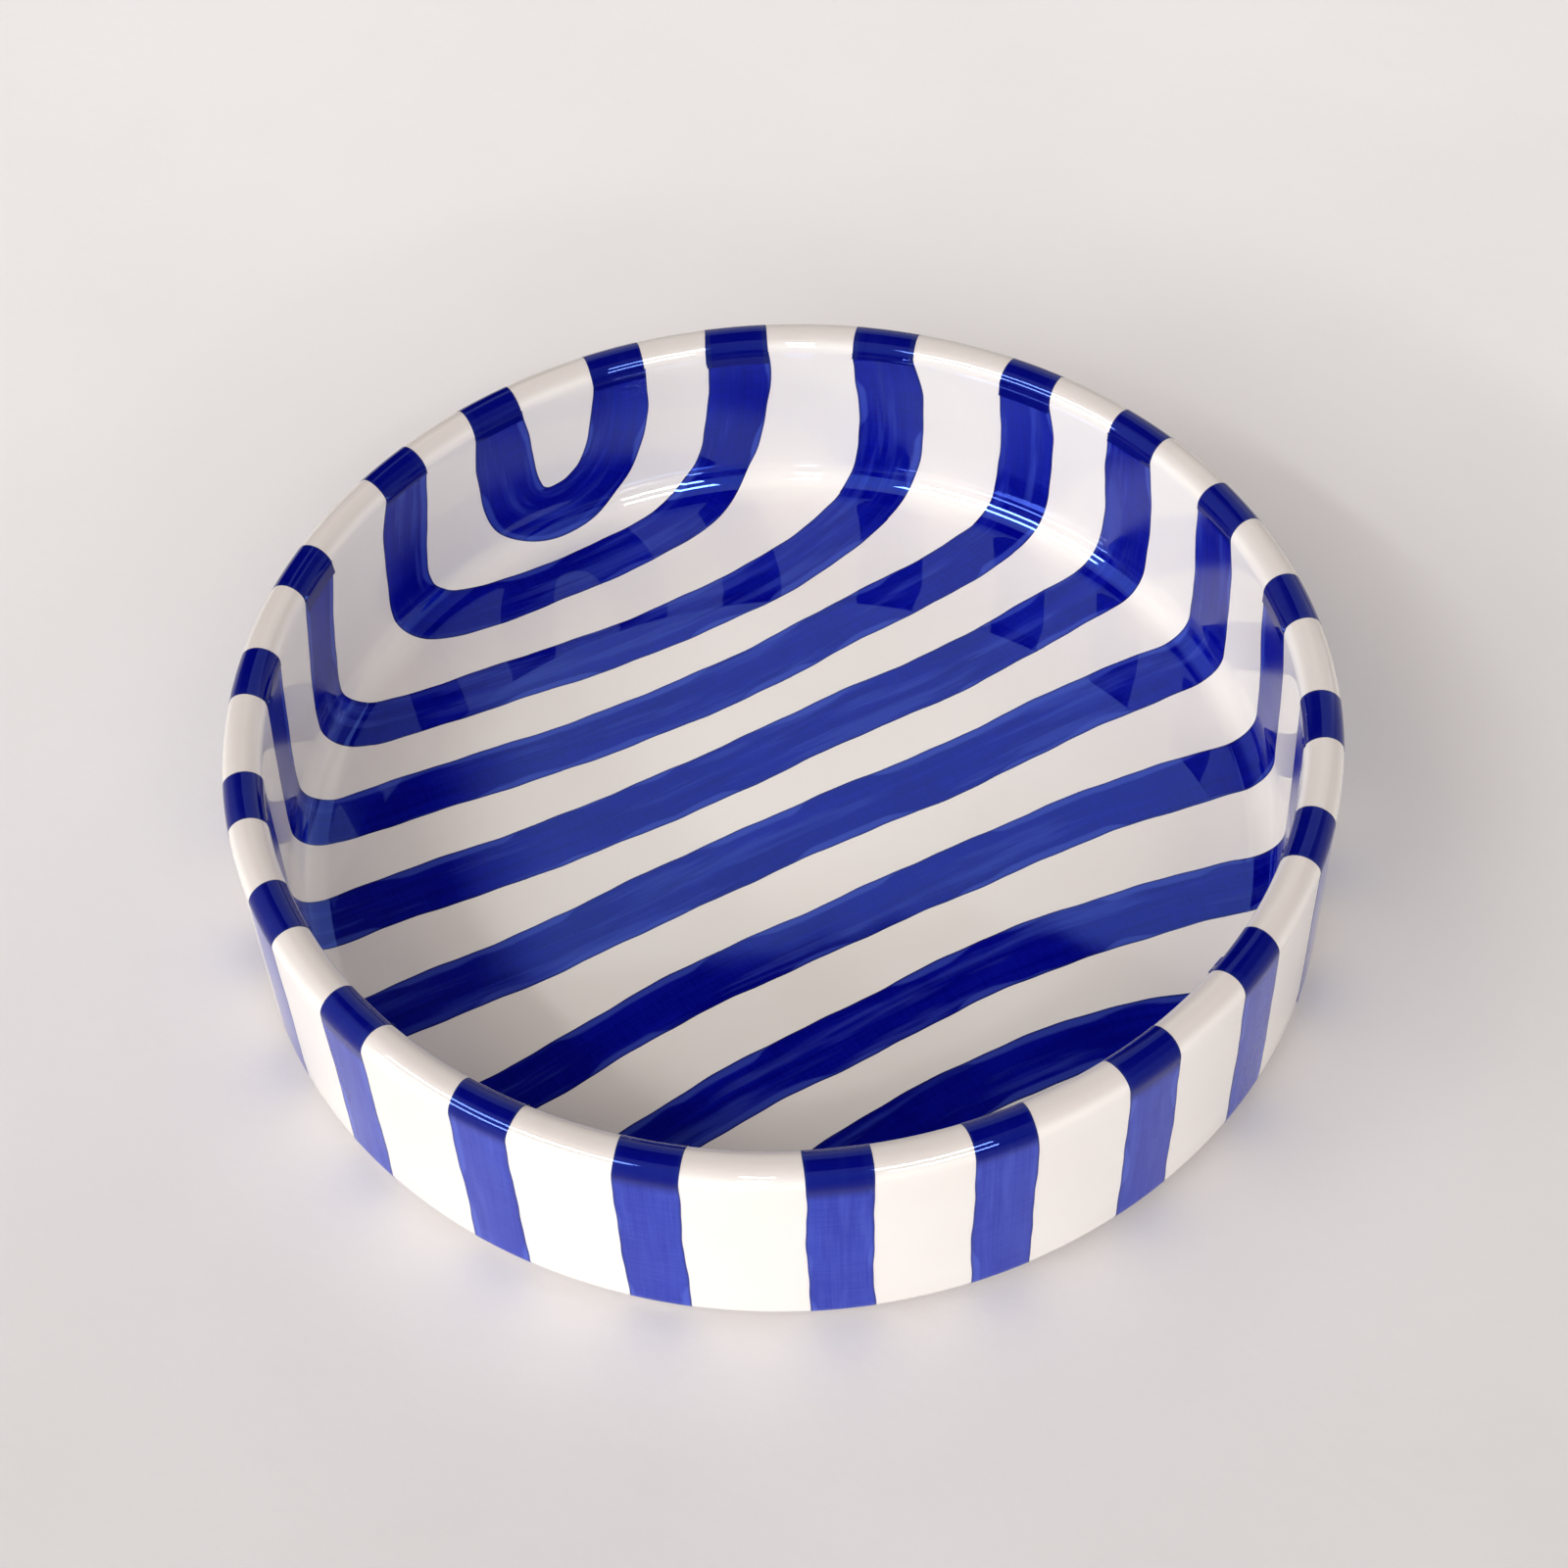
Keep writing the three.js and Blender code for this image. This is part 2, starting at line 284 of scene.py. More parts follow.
def smooth_path(corners: list[Vector], step: float) -> list[Vector]:
    """A path whose straight runs are rounded at every corner.

    Args:
        corners: The corners of the straight runs.
        step: The distance between the path's points.

    Returns:
        Evenly spaced points from the first corner to the last.
    """
    dense = [corners[0]]
    start = corners[0]
    for i in range(1, len(corners) - 1):
        is_last = i + 2 == len(corners)
        end = corners[i + 1] if is_last else (corners[i] + corners[i + 1]) / 2
        for k in range(1, CURVE_STEPS + 1):
            t = k / CURVE_STEPS
            dense.append(start * (1 - t) ** 2 + corners[i] * (2 * t * (1 - t)) + end * t * t)
        start = end
    return even_points(dense, step)


def travelled(points: list[Vector]) -> list[float]:
    """The distance along a path from its start to each of its points."""
    travel = [0.0]
    for a, b in zip(points, points[1:]):
        travel.append(travel[-1] + (b - a).length)
    return travel


def even_points(dense: list[Vector], step: float) -> list[Vector]:
    """The points of a path, spaced evenly at about the given step."""
    travel = travelled(dense)
    count = max(2, round(travel[-1] / step))
    points, k = [], 0
    for i in range(count + 1):
        want = travel[-1] * i / count
        while k + 2 < len(travel) and travel[k + 1] < want:
            k += 1
        share = (want - travel[k]) / (travel[k + 1] - travel[k])
        points.append(dense[k].lerp(dense[k + 1], min(1.0, share)))
    return points


@dataclass
class BrushStroke:
    """One stroke of blue glaze, a thin band that follows the bowl's surface.

    The spread is the width's factor at the start, the middle and the end. The
    swings of an edge each have a rate in radians per metre, a turn of the
    phase and a share of the wobble.
    """

    name: str
    rolled: RolledMap
    path: list[Vector]
    width: float
    seed: float
    spread: tuple[float, float, float] = (1.0, 1.0, 1.0)
    relief: float = 0.04 * MM
    depth: float = 0.35 * MM
    wobble: float = 0.26 * MM
    settle: float = 14 * MM
    ends: Pair = (0.0, 0.0)
    cell: float = 1.2 * MM
    swings: tuple = ((95.0, 1.0, 1.0), (210.0, 2.1, 0.6), (560.0, 3.7, 0.22))
    seed_turn: float = 2.7
    side_turn: float = 1.3

    def half_width(self, share: float) -> float:
        """Half the stroke's width at a share of its length."""
        first, middle, last = self.spread
        factor = (first * (1 - share) * (1 - 2 * share) + middle * 4 * share * (1 - share)
                  + last * share * (2 * share - 1))
        return self.width / 2 * factor

    def reach(self, side: float, along: float, total: float) -> float:
        """How far one edge lies from the path, settled to the end widths at the ends."""
        free = min(1.0, along / self.settle, (total - along) / self.settle)
        free *= free * (3 - 2 * free)
        end = self.ends[0 if along < total / 2 else 1] / 2
        wide = self.half_width(along / total) + self.edge_swing(side, along)
        return end + (wide - end) * free

    def edge_swing(self, side: float, along: float) -> float:
        """How far the brush strays at one edge after a distance along."""
        phase = self.seed * self.seed_turn + side * self.side_turn
        return self.wobble * sum(share * math.sin(along * rate + turn * phase)
                                 for rate, turn, share in self.swings)

    def build(self) -> Object:
        """Make the band: a grid laid on the bowl, then given its thickness."""
        across = max(4, round(self.width / self.cell))
        rows = len(self.path) - 1
        bm = bmesh.new()
        uv = bm.loops.layers.uv.new("stroke")
        bmesh.ops.create_grid(bm, x_segments=across, y_segments=rows, size=1)
        seed = bm.verts.layers.float.new("stroke_seed")
        travel = travelled(self.path)
        flat = {}
        for vert in bm.verts:
            t, i = vert.co.x, round((vert.co.y + 1) / 2 * rows)
            flat[vert.index] = (t * self.width / 2, travel[i])
            vert.co = self.rolled.on_bowl(self.across(i, t, travel), self.relief)
            vert[seed] = self.seed
        bm.verts.index_update()
        for face in bm.faces:
            for loop in face.loops:
                loop[uv].uv = flat[loop.vert.index]
        self.thicken(bm)
        return new_object(self.name, bm)

    def across(self, i: int, t: float, travel: list[float]) -> Vector:
        """The rolled-out point at row i, from edge (-1) to edge (1) of the stroke."""
        point = self.path[i]
        if 0 < i < len(self.path) - 1:
            ahead = self.path[i + 1] - self.path[i - 1]
        else:
            step = point - self.path[i - 1] if i else self.path[1] - point
            ahead = point * math.copysign(1.0, step.dot(point))
        out = self.rolled.outwards(point)
        around = Vector((-out.y, out.x))
        side = Vector((-ahead.dot(around) / self.rolled.stretch(point.length), ahead.dot(out)))
        side.normalize()
        reach = t * self.reach(math.copysign(1.0, t), travel[i], travel[-1])
        return self.rolled.moved(point, side.x * reach, side.y * reach)

    def thicken(self, bm: BMesh) -> None:
        """Give the laid grid its thickness into the coat, with crisp upper edges."""
        bm.normal_update()
        rim = [edge for edge in bm.edges if edge.is_boundary]
        sign = self.face_sign(bm)
        ways = [vert.normal * sign for vert in bm.verts]
        made = bmesh.ops.extrude_face_region(bm, geom=bm.faces[:], use_keep_orig=True)
        lower = [item for item in made["geom"] if isinstance(item, BMVert)]
        for vert, way in zip(lower, ways):
            vert.co -= way * (self.depth + self.relief)
        for edge in rim:
            edge.smooth = False
        bmesh.ops.recalc_face_normals(bm, faces=bm.faces)

    def face_sign(self, bm: BMesh) -> float:
        """Whether the grid's normals point out of the glaze (1) or into it (-1)."""
        first = self.rolled.on_bowl(self.path[0], 0.0)
        vert = min(bm.verts, key=lambda v: (v.co - first).length)
        out = self.rolled.on_bowl(self.path[0], 1.0) - first
        return 1.0 if vert.normal.dot(out) > 0 else -1.0


def linked(name: str, data: ID) -> Object:
    """A new object in the scene that shows the given data."""
    obj = bpy.data.objects.new(name, data)
    bpy.context.scene.collection.objects.link(obj)
    return obj


def new_object(name: str, bm: BMesh) -> Object:
    """A smooth-shaded object in the scene from a finished bmesh."""
    for face in bm.faces:
        face.smooth = True
    mesh = bpy.data.meshes.new(name)
    bm.to_mesh(mesh)
    bm.free()
    return linked(name, mesh)


def turned_piece(name: str, profile: list[Pair], segments: int,
                 sharp_below: float = -1.0) -> Object:
    """A closed profile turned about the bowl's axis.

    Args:
        name: The piece's name.
        profile: Radius and height pairs, from the axis to the axis.
        segments: The steps round the axis.
        sharp_below: The height under which sharp corners keep a crisp edge.

    Returns:
        The turned object.
    """
    bm = bmesh.new()
    verts = [bm.verts.new((r, 0.0, z)) for r, z in profile]
    edges = [bm.edges.new(pair) for pair in zip(verts, verts[1:])]
    bmesh.ops.spin(bm, geom=verts + edges, cent=(0, 0, 0), axis=(0, 0, 1),
                   angle=math.tau, steps=segments, use_merge=True)
    bmesh.ops.remove_doubles(bm, verts=bm.verts, dist=MERGE_DISTANCE)
    bmesh.ops.dissolve_degenerate(bm, edges=bm.edges, dist=MERGE_DISTANCE / 10)
    bmesh.ops.recalc_face_normals(bm, faces=bm.faces)
    for edge in bm.edges:
        is_low = all(vert.co.z < sharp_below for vert in edge.verts)
        if is_low and edge.is_manifold and edge.calc_face_angle(0.0) > CRISP_ANGLE:
            edge.smooth = False
    return new_object(name, bm)


class NodeDesk:
    """A small helper that adds and joins shader nodes in one tree."""

    def __init__(self, tree: NodeTree) -> None:
        """Work on the given tree."""
        self.tree = tree

    def add(self, kind: str, inputs: dict | None = None, **settings: object) -> Node:
        """Add a node, set its settings, and link or set its inputs."""
        node = self.tree.nodes.new(kind)
        for key, value in settings.items():
            setattr(node, key, value)
        for key, value in (inputs or {}).items():
            if isinstance(value, NodeSocket):
                self.tree.links.new(value, node.inputs[key])
            else:
                node.inputs[key].default_value = value
        return node

    def math(self, operation: str, *values: object) -> NodeSocket:
        """The result of a Math node."""
        return self.add("ShaderNodeMath", dict(enumerate(values)), operation=operation).outputs[0]

    def vector(self, operation: str, first: object, others: dict) -> NodeSocket:
        """The vector result of a Vector Math node."""
        return self.add("ShaderNodeVectorMath", {0: first, **others},
                        operation=operation).outputs[0]

    def place(self) -> NodeSocket:
        """The place on the piece, in metres from the middle of the foot."""
        return self.add("ShaderNodeTexCoord").outputs["Object"]

    def part(self, vector: NodeSocket, index: int) -> NodeSocket:
        """One component of a vector."""
        return self.add("ShaderNodeSeparateXYZ", {0: vector}).outputs[index]

    def bump(self, height: NodeSocket, strength: float, distance: float) -> NodeSocket:
        """A normal bent by a height."""
        return self.add("ShaderNodeBump", {"Height": height, "Strength": strength,
                                           "Distance": distance}).outputs[0]

    def noise(self, vector: NodeSocket, scale: float, detail: float = 2.0,
              roughness: float = 0.5) -> NodeSocket:
        """A noise value between 0 and 1."""
        return self.add("ShaderNodeTexNoise", {"Vector": vector, "Scale": scale, "Detail": detail,
                                               "Roughness": roughness}).outputs[0]

    def ramp(self, value: object, low: float, high: float, first: float = 0.0,
             last: float = 1.0) -> NodeSocket:
        """A value brought smoothly from one range to another."""
        return self.add("ShaderNodeMapRange", {"Value": value, "From Min": low, "From Max": high,
                                               "To Min": first, "To Max": last},
                        interpolation_type="SMOOTHSTEP").outputs[0]

    def mix(self, share: object, first: object, second: object) -> NodeSocket:
        """Two colours mixed by a share."""
        node = self.add("ShaderNodeMix", {0: share}, data_type="RGBA")
        for socket, value in ((node.inputs[6], first), (node.inputs[7], second)):
            if isinstance(value, NodeSocket):
                self.tree.links.new(value, socket)
            else:
                socket.default_value = (*value, 1.0)
        return node.outputs[2]


def new_group(name: str, inputs: dict[str, str], outputs: dict[str, str]) -> tuple:
    """A new shader node group.

    Args:
        name: The group's name.
        inputs: Input names and socket types.
        outputs: Output names and socket types.

    Returns:
        The group, its desk, its input node and its output node.
    """
    tree = bpy.data.node_groups.new(name, "ShaderNodeTree")
    for way, sockets in (("INPUT", inputs), ("OUTPUT", outputs)):
        for socket, kind in sockets.items():
            tree.interface.new_socket(socket, in_out=way, socket_type=kind)
    desk = NodeDesk(tree)
    return tree, desk, desk.add("NodeGroupInput"), desk.add("NodeGroupOutput")


@dataclass(frozen=True)
class Streaks:
    """Noise drawn out along a stroke, by its rates across and along it per metre."""

    across: float
    along: float
    shift: float
    detail: float = 2.0
    weight: float = 1.0


@dataclass(frozen=True)
class BrushMarks:
    """The marks of a loaded brush: streaks, fine cross marks, two coats and an outline.

    Places across a stroke are shares of its half width. The second coat thins
    along long streaks, and stops short of the stroke's edges here and there.
    """

    load: tuple[Streaks, ...] = (
        Streaks(320.0, 16.0, 3.1, 3.0, 0.27), Streaks(1700.0, 40.0, 7.7, 2.0, 0.24),
        Streaks(70.0, 40.0, 11.3, 2.0, 0.26), Streaks(120.0, 1500.0, 17.9, 2.0, 0.23))
    load_range: Pair = (0.37, 0.63)
    coat: Streaks = Streaks(210.0, 17.0, 31.7, 3.0)
    coat_range: Pair = (0.70, 0.50)
    coat_least: float = 0.55
    margin: Streaks = Streaks(0.0, 24.0, 0.0, 1.0)
    margin_range: Pair = (0.42, 0.60)
    margin_reach: Pair = (1.12, 0.70)
    ragged: Streaks = Streaks(500.0, 60.0, 3.0, 2.0, 0.16)
    bare_soft: float = 0.12
    bare_least: float = 0.25
    sides: tuple = ((1.0, 23.3), (-1.0, 41.9))
    outline: Pair = (0.9, 0.985)
    noise_roughness: float = 0.6

    def group(self) -> NodeTree:
        """Make the node group."""
        tree, desk, given, out = new_group(
            "brush_marks",
            {"Stroke": "NodeSocketVector", "Seed": "NodeSocketFloat",
             "Half Width": "NodeSocketFloat"},
            {"Load": "NodeSocketFloat", "Second Coat": "NodeSocketFloat",
             "Edge": "NodeSocketFloat", "Along": "NodeSocketFloat"})
        split = desk.add("ShaderNodeSeparateXYZ", {0: given.outputs["Stroke"]})
        across, along = split.outputs[0], split.outputs[1]

        def streak(kind: Streaks, shift: float = 0.0) -> NodeSocket:
            """The noise of one kind of streak."""
            depth = desk.math("ADD", given.outputs["Seed"], kind.shift + shift)
            place = desk.add("ShaderNodeCombineXYZ", {
                0: desk.math("MULTIPLY", across, kind.across),
                1: desk.math("MULTIPLY", along, kind.along), 2: depth})
            return desk.noise(place.outputs[0], 1.0, kind.detail, self.noise_roughness)

        load = 0.0
        for kind in self.load:
            load = desk.math("MULTIPLY_ADD", streak(kind), kind.weight, load)
        tree.links.new(desk.ramp(load, *self.load_range), out.inputs["Load"])
        reach = desk.math("DIVIDE", across, given.outputs["Half Width"])
        coat = desk.ramp(streak(self.coat), *self.coat_range, self.coat_least, 1.0)
        for side, shift in self.sides:
            drawn_in = desk.ramp(streak(self.margin, shift), *self.margin_range,
                                 *self.margin_reach)
            ragged = desk.math("MULTIPLY_ADD", streak(self.ragged, shift),
                               self.ragged.weight, drawn_in)
            gap = desk.math("SUBTRACT", ragged, desk.math("MULTIPLY", reach, side))
            covered = desk.ramp(gap, 0.0, self.bare_soft, self.bare_least, 1.0)
            coat = desk.math("MULTIPLY", coat, covered)
        tree.links.new(coat, out.inputs["Second Coat"])
        outline = desk.ramp(desk.math("ABSOLUTE", reach), *self.outline)
        tree.links.new(outline, out.inputs["Edge"])
        tree.links.new(along, out.inputs["Along"])
        return tree


@dataclass(frozen=True)
class GlazeRipple:
    """The slow swell and fine orange peel of a poured glaze, as a height."""

    swell_rate: float = 28.0
    peel_rate: float = 260.0
    peel_share: float = 0.02

    def group(self) -> NodeTree:
        """Make the node group."""
        tree, desk, given, out = new_group(
            "glaze_ripple", {"Place": "NodeSocketVector"}, {"Height": "NodeSocketFloat"})
        swell = desk.noise(given.outputs["Place"], self.swell_rate, 1.0)
        peel = desk.noise(given.outputs["Place"], self.peel_rate, 1.0)
        height = desk.math("MULTIPLY_ADD", peel, self.peel_share, swell)
        tree.links.new(height, out.inputs["Height"])
        return tree


@dataclass(frozen=True)
class Cloud:
    """Soft noise: its rate per metre, its detail and the range that is brought to 0 and 1."""

    rate: float
    detail: float
    low: float
    high: float

    def mask(self, desk: NodeDesk, place: NodeSocket) -> NodeSocket:
        """How much of the cloud lies at a place."""
        return desk.ramp(desk.noise(place, self.rate, self.detail), self.low, self.high)


@dataclass(frozen=True)
class SharedEffects:
    """The node groups that more than one finish uses."""

    brush: NodeTree
    ripple: NodeTree


@dataclass(frozen=True)
class Gloss:
    """How a glaze shines: set on the shader's own sockets."""

    roughness: float = 0.03
    ior: float = 1.45
    level: float = 0.5
    tint: Colour = (1.0, 1.0, 1.0)
    ripple_distance: float = 0.08 * MM
    ripple_strength: float = 0.6

    def shader(self, desk: NodeDesk, effects: SharedEffects) -> Node:
        """A glossy shader with the glaze's swell in its normal."""
        ripple = desk.add("ShaderNodeGroup", node_tree=effects.ripple)
        desk.tree.links.new(desk.place(), ripple.inputs["Place"])
        return desk.add("ShaderNodeBsdfPrincipled", {
            "Roughness": self.roughness, "IOR": self.ior, "Specular IOR Level": self.level,
            "Specular Tint": (*self.tint, 1.0),
            "Normal": desk.bump(ripple.outputs["Height"], self.ripple_strength,
                                self.ripple_distance)})


def new_material(name: str) -> tuple[Material, NodeDesk, Node]:
    """An empty node material with its desk and its output node."""
    material = bpy.data.materials.new(name)
    material.use_nodes = True
    material.node_tree.nodes.clear()
    desk = NodeDesk(material.node_tree)
    return material, desk, desk.add("ShaderNodeOutputMaterial")


@dataclass(frozen=True)
class WhiteGlaze:
    """The opaque white tin glaze, with a darker, warmer top to the rim: partly the glaze running
    thin there, partly painted shade for the weaker light on the rim's top.
    """

    name: str = "white_tin_glaze"
    body: Colour = (0.86, 0.815, 0.77)
    warm: Colour = (0.83, 0.78, 0.725)
    # The rim top's colour, well darker than the body: partly thin glaze, partly painted shade.
    thin: Colour = (0.68, 0.62, 0.585)
    thin_and_shaded_from: float = 62.2 * MM
    thin_and_shaded_full: float = 64.2 * MM
    cloud: Cloud = Cloud(16.0, 4.0, 0.35, 0.75)
    gloss: Gloss = Gloss()

    def material(self, effects: SharedEffects) -> Material:
        """Make the finish."""
        material, desk, out = new_material(self.name)
        shader = self.gloss.shader(desk, effects)
        place = desk.place()
        # The rim's top is darkened here: painted shade, together with the glaze's thinning there.
        rim = desk.ramp(desk.part(place, 2), self.thin_and_shaded_from, self.thin_and_shaded_full)
        covered = desk.mix(self.cloud.mask(desk, place), self.body, self.warm)
        colour = desk.mix(rim, covered, self.thin)
        desk.tree.links.new(colour, shader.inputs["Base Color"])
        desk.tree.links.new(shader.outputs[0], out.inputs[0])
        return material


@dataclass(frozen=True)
class CobaltGlaze:
    """Cobalt brushed on in two coats, so the white shows through along the streaks.

    A deep blue glass returns most of a reflection in its own colour, which the
    tinted gloss stands for. Where a stroke laps over another near its start it
    is darker, and on the upright wall the brush leaves the gloss softer.
    """

    name: str
    full: Colour
    thin: Colour
    wash: Colour
    outline: Colour
    overlap: Colour
    half_width: float
    gloss: Gloss
    overlap_end: float = 0.0
    overlap_soft: float = 5 * MM
    overlap_share: float = 0.92
    outline_share: float = 0.65
    wall_soft: float = 0.0
    wall_from: float = 26 * MM
    wall_to: float = 58 * MM
    wall_fades: Pair = (4 * MM, 2 * MM)

    def material(self, effects: SharedEffects) -> Material:
        """Make the finish."""
        material, desk, out = new_material(self.name)
        shader = self.gloss.shader(desk, effects)
        stroke = desk.add("ShaderNodeUVMap", uv_map="stroke").outputs[0]
        seed = desk.add("ShaderNodeAttribute", attribute_name="stroke_seed").outputs["Fac"]
        marks = desk.add("ShaderNodeGroup", node_tree=effects.brush)
        desk.tree.links.new(stroke, marks.inputs["Stroke"])
        desk.tree.links.new(seed, marks.inputs["Seed"])
        marks.inputs["Half Width"].default_value = self.half_width
        colour = desk.mix(marks.outputs["Load"], self.thin, self.full)
        colour = desk.mix(marks.outputs["Second Coat"], self.wash, colour)
        if self.overlap_end:
            over = desk.ramp(marks.outputs["Along"], self.overlap_end,
                             self.overlap_end - self.overlap_soft, 0.0, self.overlap_share)
            colour = desk.mix(over, colour, self.overlap)
        edge = desk.math("MULTIPLY", marks.outputs["Edge"], self.outline_share)
        colour = desk.mix(edge, colour, self.outline)
        desk.tree.links.new(colour, shader.inputs["Base Color"])
        if self.wall_soft:
            desk.tree.links.new(self.wall_roughness(desk), shader.inputs["Roughness"])
        desk.tree.links.new(shader.outputs[0], out.inputs[0])
        return material

    def wall_roughness(self, desk: NodeDesk) -> NodeSocket:
        """The gloss over the height: dragged and softer on the upright wall."""
        height = desk.part(desk.place(), 2)
        low, high = self.wall_fades
        above = desk.ramp(height, self.wall_from - low, self.wall_from + low)
        under = desk.ramp(height, self.wall_to + high, self.wall_to - high)
        wall = desk.math("MULTIPLY", above, under)
        return desk.math("MULTIPLY_ADD", wall, self.wall_soft, self.gloss.roughness)


@dataclass(frozen=True)
class BareClay:
    """Fired, unglazed earthenware with fine grog and a dusty grain."""

    name: str = "fired_clay"
    body: Colour = (0.62, 0.53, 0.42)
    pale: Colour = (0.74, 0.66, 0.55)
    speck: Colour = (0.34, 0.25, 0.18)
    cloud: Cloud = Cloud(40.0, 5.0, 0.35, 0.7)
    specks: Cloud = Cloud(900.0, 2.0, 0.68, 0.76)
    grain_rate: float = 1400.0
    grain_detail: float = 3.0
    grain_height: float = 0.1 * MM
    grain_strength: float = 0.5
    grain_range: Pair = (0.3, 0.7)
    roughness: Pair = (0.72, 0.9)

    def material(self) -> Material:
        """Make the finish."""
        material, desk, out = new_material(self.name)
        place = desk.place()
        clay = desk.mix(self.cloud.mask(desk, place), self.body, self.pale)
        grain = desk.noise(place, self.grain_rate, self.grain_detail)
        shader = desk.add("ShaderNodeBsdfPrincipled", {
            "Base Color": desk.mix(self.specks.mask(desk, place), clay, self.speck),
            "Roughness": desk.ramp(grain, *self.grain_range, *self.roughness),
            "Normal": desk.bump(grain, self.grain_strength, self.grain_height)})
        desk.tree.links.new(shader.outputs[0], out.inputs[0])
        return material


@dataclass(frozen=True)
class TableTop:
    """A matt, nearly white table with a faint plaster grain: painted shade near the viewer and
    painted light away from the viewer, for how the light falls on it.
    """

    name: str = "pale_table"
    # Painted shade near the viewer and painted light far off, over the table's own pale colour.
    shaded_near: Colour = (0.665, 0.635, 0.635)
    lit_far: Colour = (0.93, 0.90, 0.90)
    reach: Pair = (-0.3, 0.45)
    uneven: float = 0.3
    uneven_rate: float = 9.0
    uneven_detail: float = 6.0
    grain_rate: float = 160.0
    grain_detail: float = 4.0
    grain_height: float = 0.6 * MM
    grain_strength: float = 0.25
    roughness: float = 0.7

    def material(self) -> Material:
        """Make the finish."""
        material, desk, out = new_material(self.name)
        place = desk.place()
        cloud = desk.math("MULTIPLY_ADD", desk.noise(place, self.uneven_rate, self.uneven_detail),
                          self.uneven, -self.uneven / 2)
        # The share runs from the painted shade near the viewer to the painted light far off, with
        # random unevenness.
        share = desk.math("ADD", desk.ramp(desk.part(place, 1), *self.reach), cloud)
        grain = desk.noise(place, self.grain_rate, self.grain_detail)
        shader = desk.add("ShaderNodeBsdfPrincipled", {
            "Base Color": desk.mix(share, self.shaded_near, self.lit_far), "Roughness": self.roughness,
            "Normal": desk.bump(grain, self.grain_strength, self.grain_height)})
        desk.tree.links.new(shader.outputs[0], out.inputs[0])
        return material


def dress(piece: Object, material: Material, node: str) -> None:
    """Give a piece its finish and tie it to the CAD node that it stands for."""
    piece.data.materials.append(material)
    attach(piece, "root")
    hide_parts(node)
    LOG.info("%s: %d faces", piece.name, len(piece.data.polygons))


@dataclass
class TurnedClay:
    """The clay body with its foot ring."""

    surface: BowlSurface
    foot_radius: float = 124 * MM
    foot_width: float = 8 * MM
    foot_chamfer: float = 0.6 * MM
    glaze: float = 0.8 * MM
    under_glaze: float = 0.1 * MM
    step_in: float = 0.2 * MM
    crisp_height: float = 1 * MM
    segments: int = 192

    def build(self, material: Material) -> None:
        """Turn the clay just under the glaze and dress it."""
        s = self.surface
        under = s.foot_height + self.under_glaze
        inner = self.foot_radius - self.foot_width
        top = [point for point in s.profile(-self.glaze) if point[1] > under + self.glaze]
        corners = [
            (s.glaze_end, under + self.glaze), (s.glaze_end - self.step_in, s.foot_height),
            (self.foot_radius, s.foot_height), (self.foot_radius, self.foot_chamfer),
            (self.foot_radius - self.foot_chamfer, 0.0), (inner + self.foot_chamfer, 0.0),
            (inner, self.foot_chamfer), (inner, s.foot_height), (0.0, s.foot_height)]
        piece = turned_piece("turned_clay", top + corners, self.segments,
                             s.foot_height + self.crisp_height)
        dress(piece, material, "clay_body")


@dataclass
class GlazeCoat:
    """The white coat, over floor, wall, rim and outside as far as the foot."""

    surface: BowlSurface
    thickness: float = 0.8 * MM
    segments: int = 360

    def build(self, material: Material) -> None:
        """Turn the coat and dress it."""
        under = self.surface.profile(-self.thickness)
        over = self.surface.profile(0.0)
        piece = turned_piece("glaze_coat", under + over[::-1], self.segments)
        dress(piece, material, "white_glaze")


@dataclass(frozen=True)
class Hand:
    """How the painter turns from the wall to the floor at one end of a stroke.

    The turn takes a share of the wall and a length of the floor, both more for
    the strokes at the back and front, which also lean in by some degrees. The
    loops are pinched together at their bottom.
    """

    side: int
    limb: float
    limb_more: float
    turn: float
    turn_more: float
    lean: float
    pinch: float


